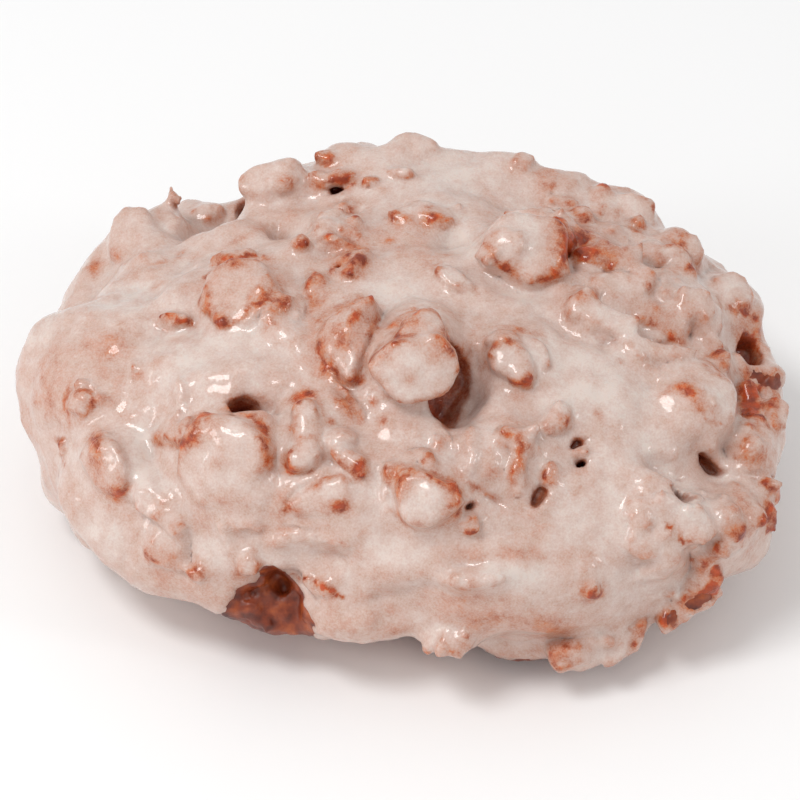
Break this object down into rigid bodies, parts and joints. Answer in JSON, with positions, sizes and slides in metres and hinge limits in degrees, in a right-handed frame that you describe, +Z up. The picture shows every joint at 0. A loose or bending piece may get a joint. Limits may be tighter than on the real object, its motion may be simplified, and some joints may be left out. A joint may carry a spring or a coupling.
{
  "type": "apple fritter",
  "caption": "Glazed apple fritter: one uneven lump of fried dough with chunks of apple and crags of crust all over it.",
  "frame": {"origin": "on the surface that the fritter lies on, under the middle of its bounding box", "axes": "+X along its longest side, to the right of the pictured view, +Z up out of its glazed top, and -Y towards the viewer"},
  "size_m": [0.1264, 0.1008, 0.053],
  "materials": {
    "glazed_dough": "thin white sugar glaze, wet-looking, over red-brown fried dough"
  },
  "bodies": {
    "root": {"fritter": "glazed_dough"}
  },
  "joints": []
}
